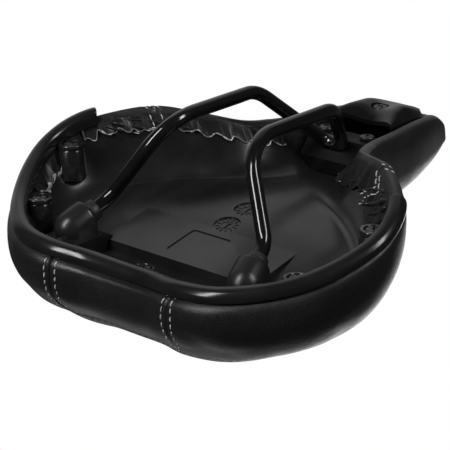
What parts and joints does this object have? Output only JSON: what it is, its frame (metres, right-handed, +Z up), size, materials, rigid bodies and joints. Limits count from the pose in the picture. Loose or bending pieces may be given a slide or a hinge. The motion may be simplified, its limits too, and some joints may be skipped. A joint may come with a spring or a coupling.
{
  "type": "cushioned two-rail saddle",
  "caption": "Wide padded saddle with a moulded base pan, stitched cover, rear trim bead and a bent rod undercarriage that clamps to a two-rail seat post.",
  "frame": {"origin": "midway between the two straight clamp sections of the rail, on the rod centreline", "axes": "+X is the rider's right, +Y points to the nose along the clamp sections, +Z is up through the cushion"},
  "size_m": [0.1966, 0.2576, 0.0895],
  "materials": {
    "cover_leather": "satin fine grain",
    "pan_plastic": "semi-gloss moulded",
    "trim_plastic": "satin",
    "cap_plastic": "gloss",
    "rail_paint": "gloss black",
    "sleeve_rubber": "matte",
    "screw_steel": "black oxide",
    "foam": "open-cell foam"
  },
  "bodies": {
    "root": {"anchor_screw_left": "screw_steel", "anchor_screw_right": "screw_steel", "base_pan": "pan_plastic", "cover_left_panel": "cover_leather", "cover_nose_panel": "cover_leather", "cover_rear_panel": "cover_leather", "cover_right_panel": "cover_leather", "cover_top_panel": "cover_leather", "foam_pad": "foam", "hem_left_front": "cover_leather", "hem_left_rear": "cover_leather", "hem_right_front": "cover_leather", "hem_right_rear": "cover_leather", "nose_anchor": "pan_plastic", "nose_cap": "cap_plastic", "nose_cap_screw": "screw_steel", "rail": "rail_paint", "rail_sleeve_left": "sleeve_rubber", "rail_sleeve_right": "sleeve_rubber", "rail_socket_left": "pan_plastic", "rail_socket_right": "pan_plastic", "rear_trim": "trim_plastic", "trim_screw_1": "screw_steel", "trim_screw_2": "screw_steel", "trim_screw_3": "screw_steel", "trim_screw_4": "screw_steel", "trim_screw_5": "screw_steel", "trim_screw_6": "screw_steel", "trim_screw_7": "screw_steel"}
  },
  "joints": []
}
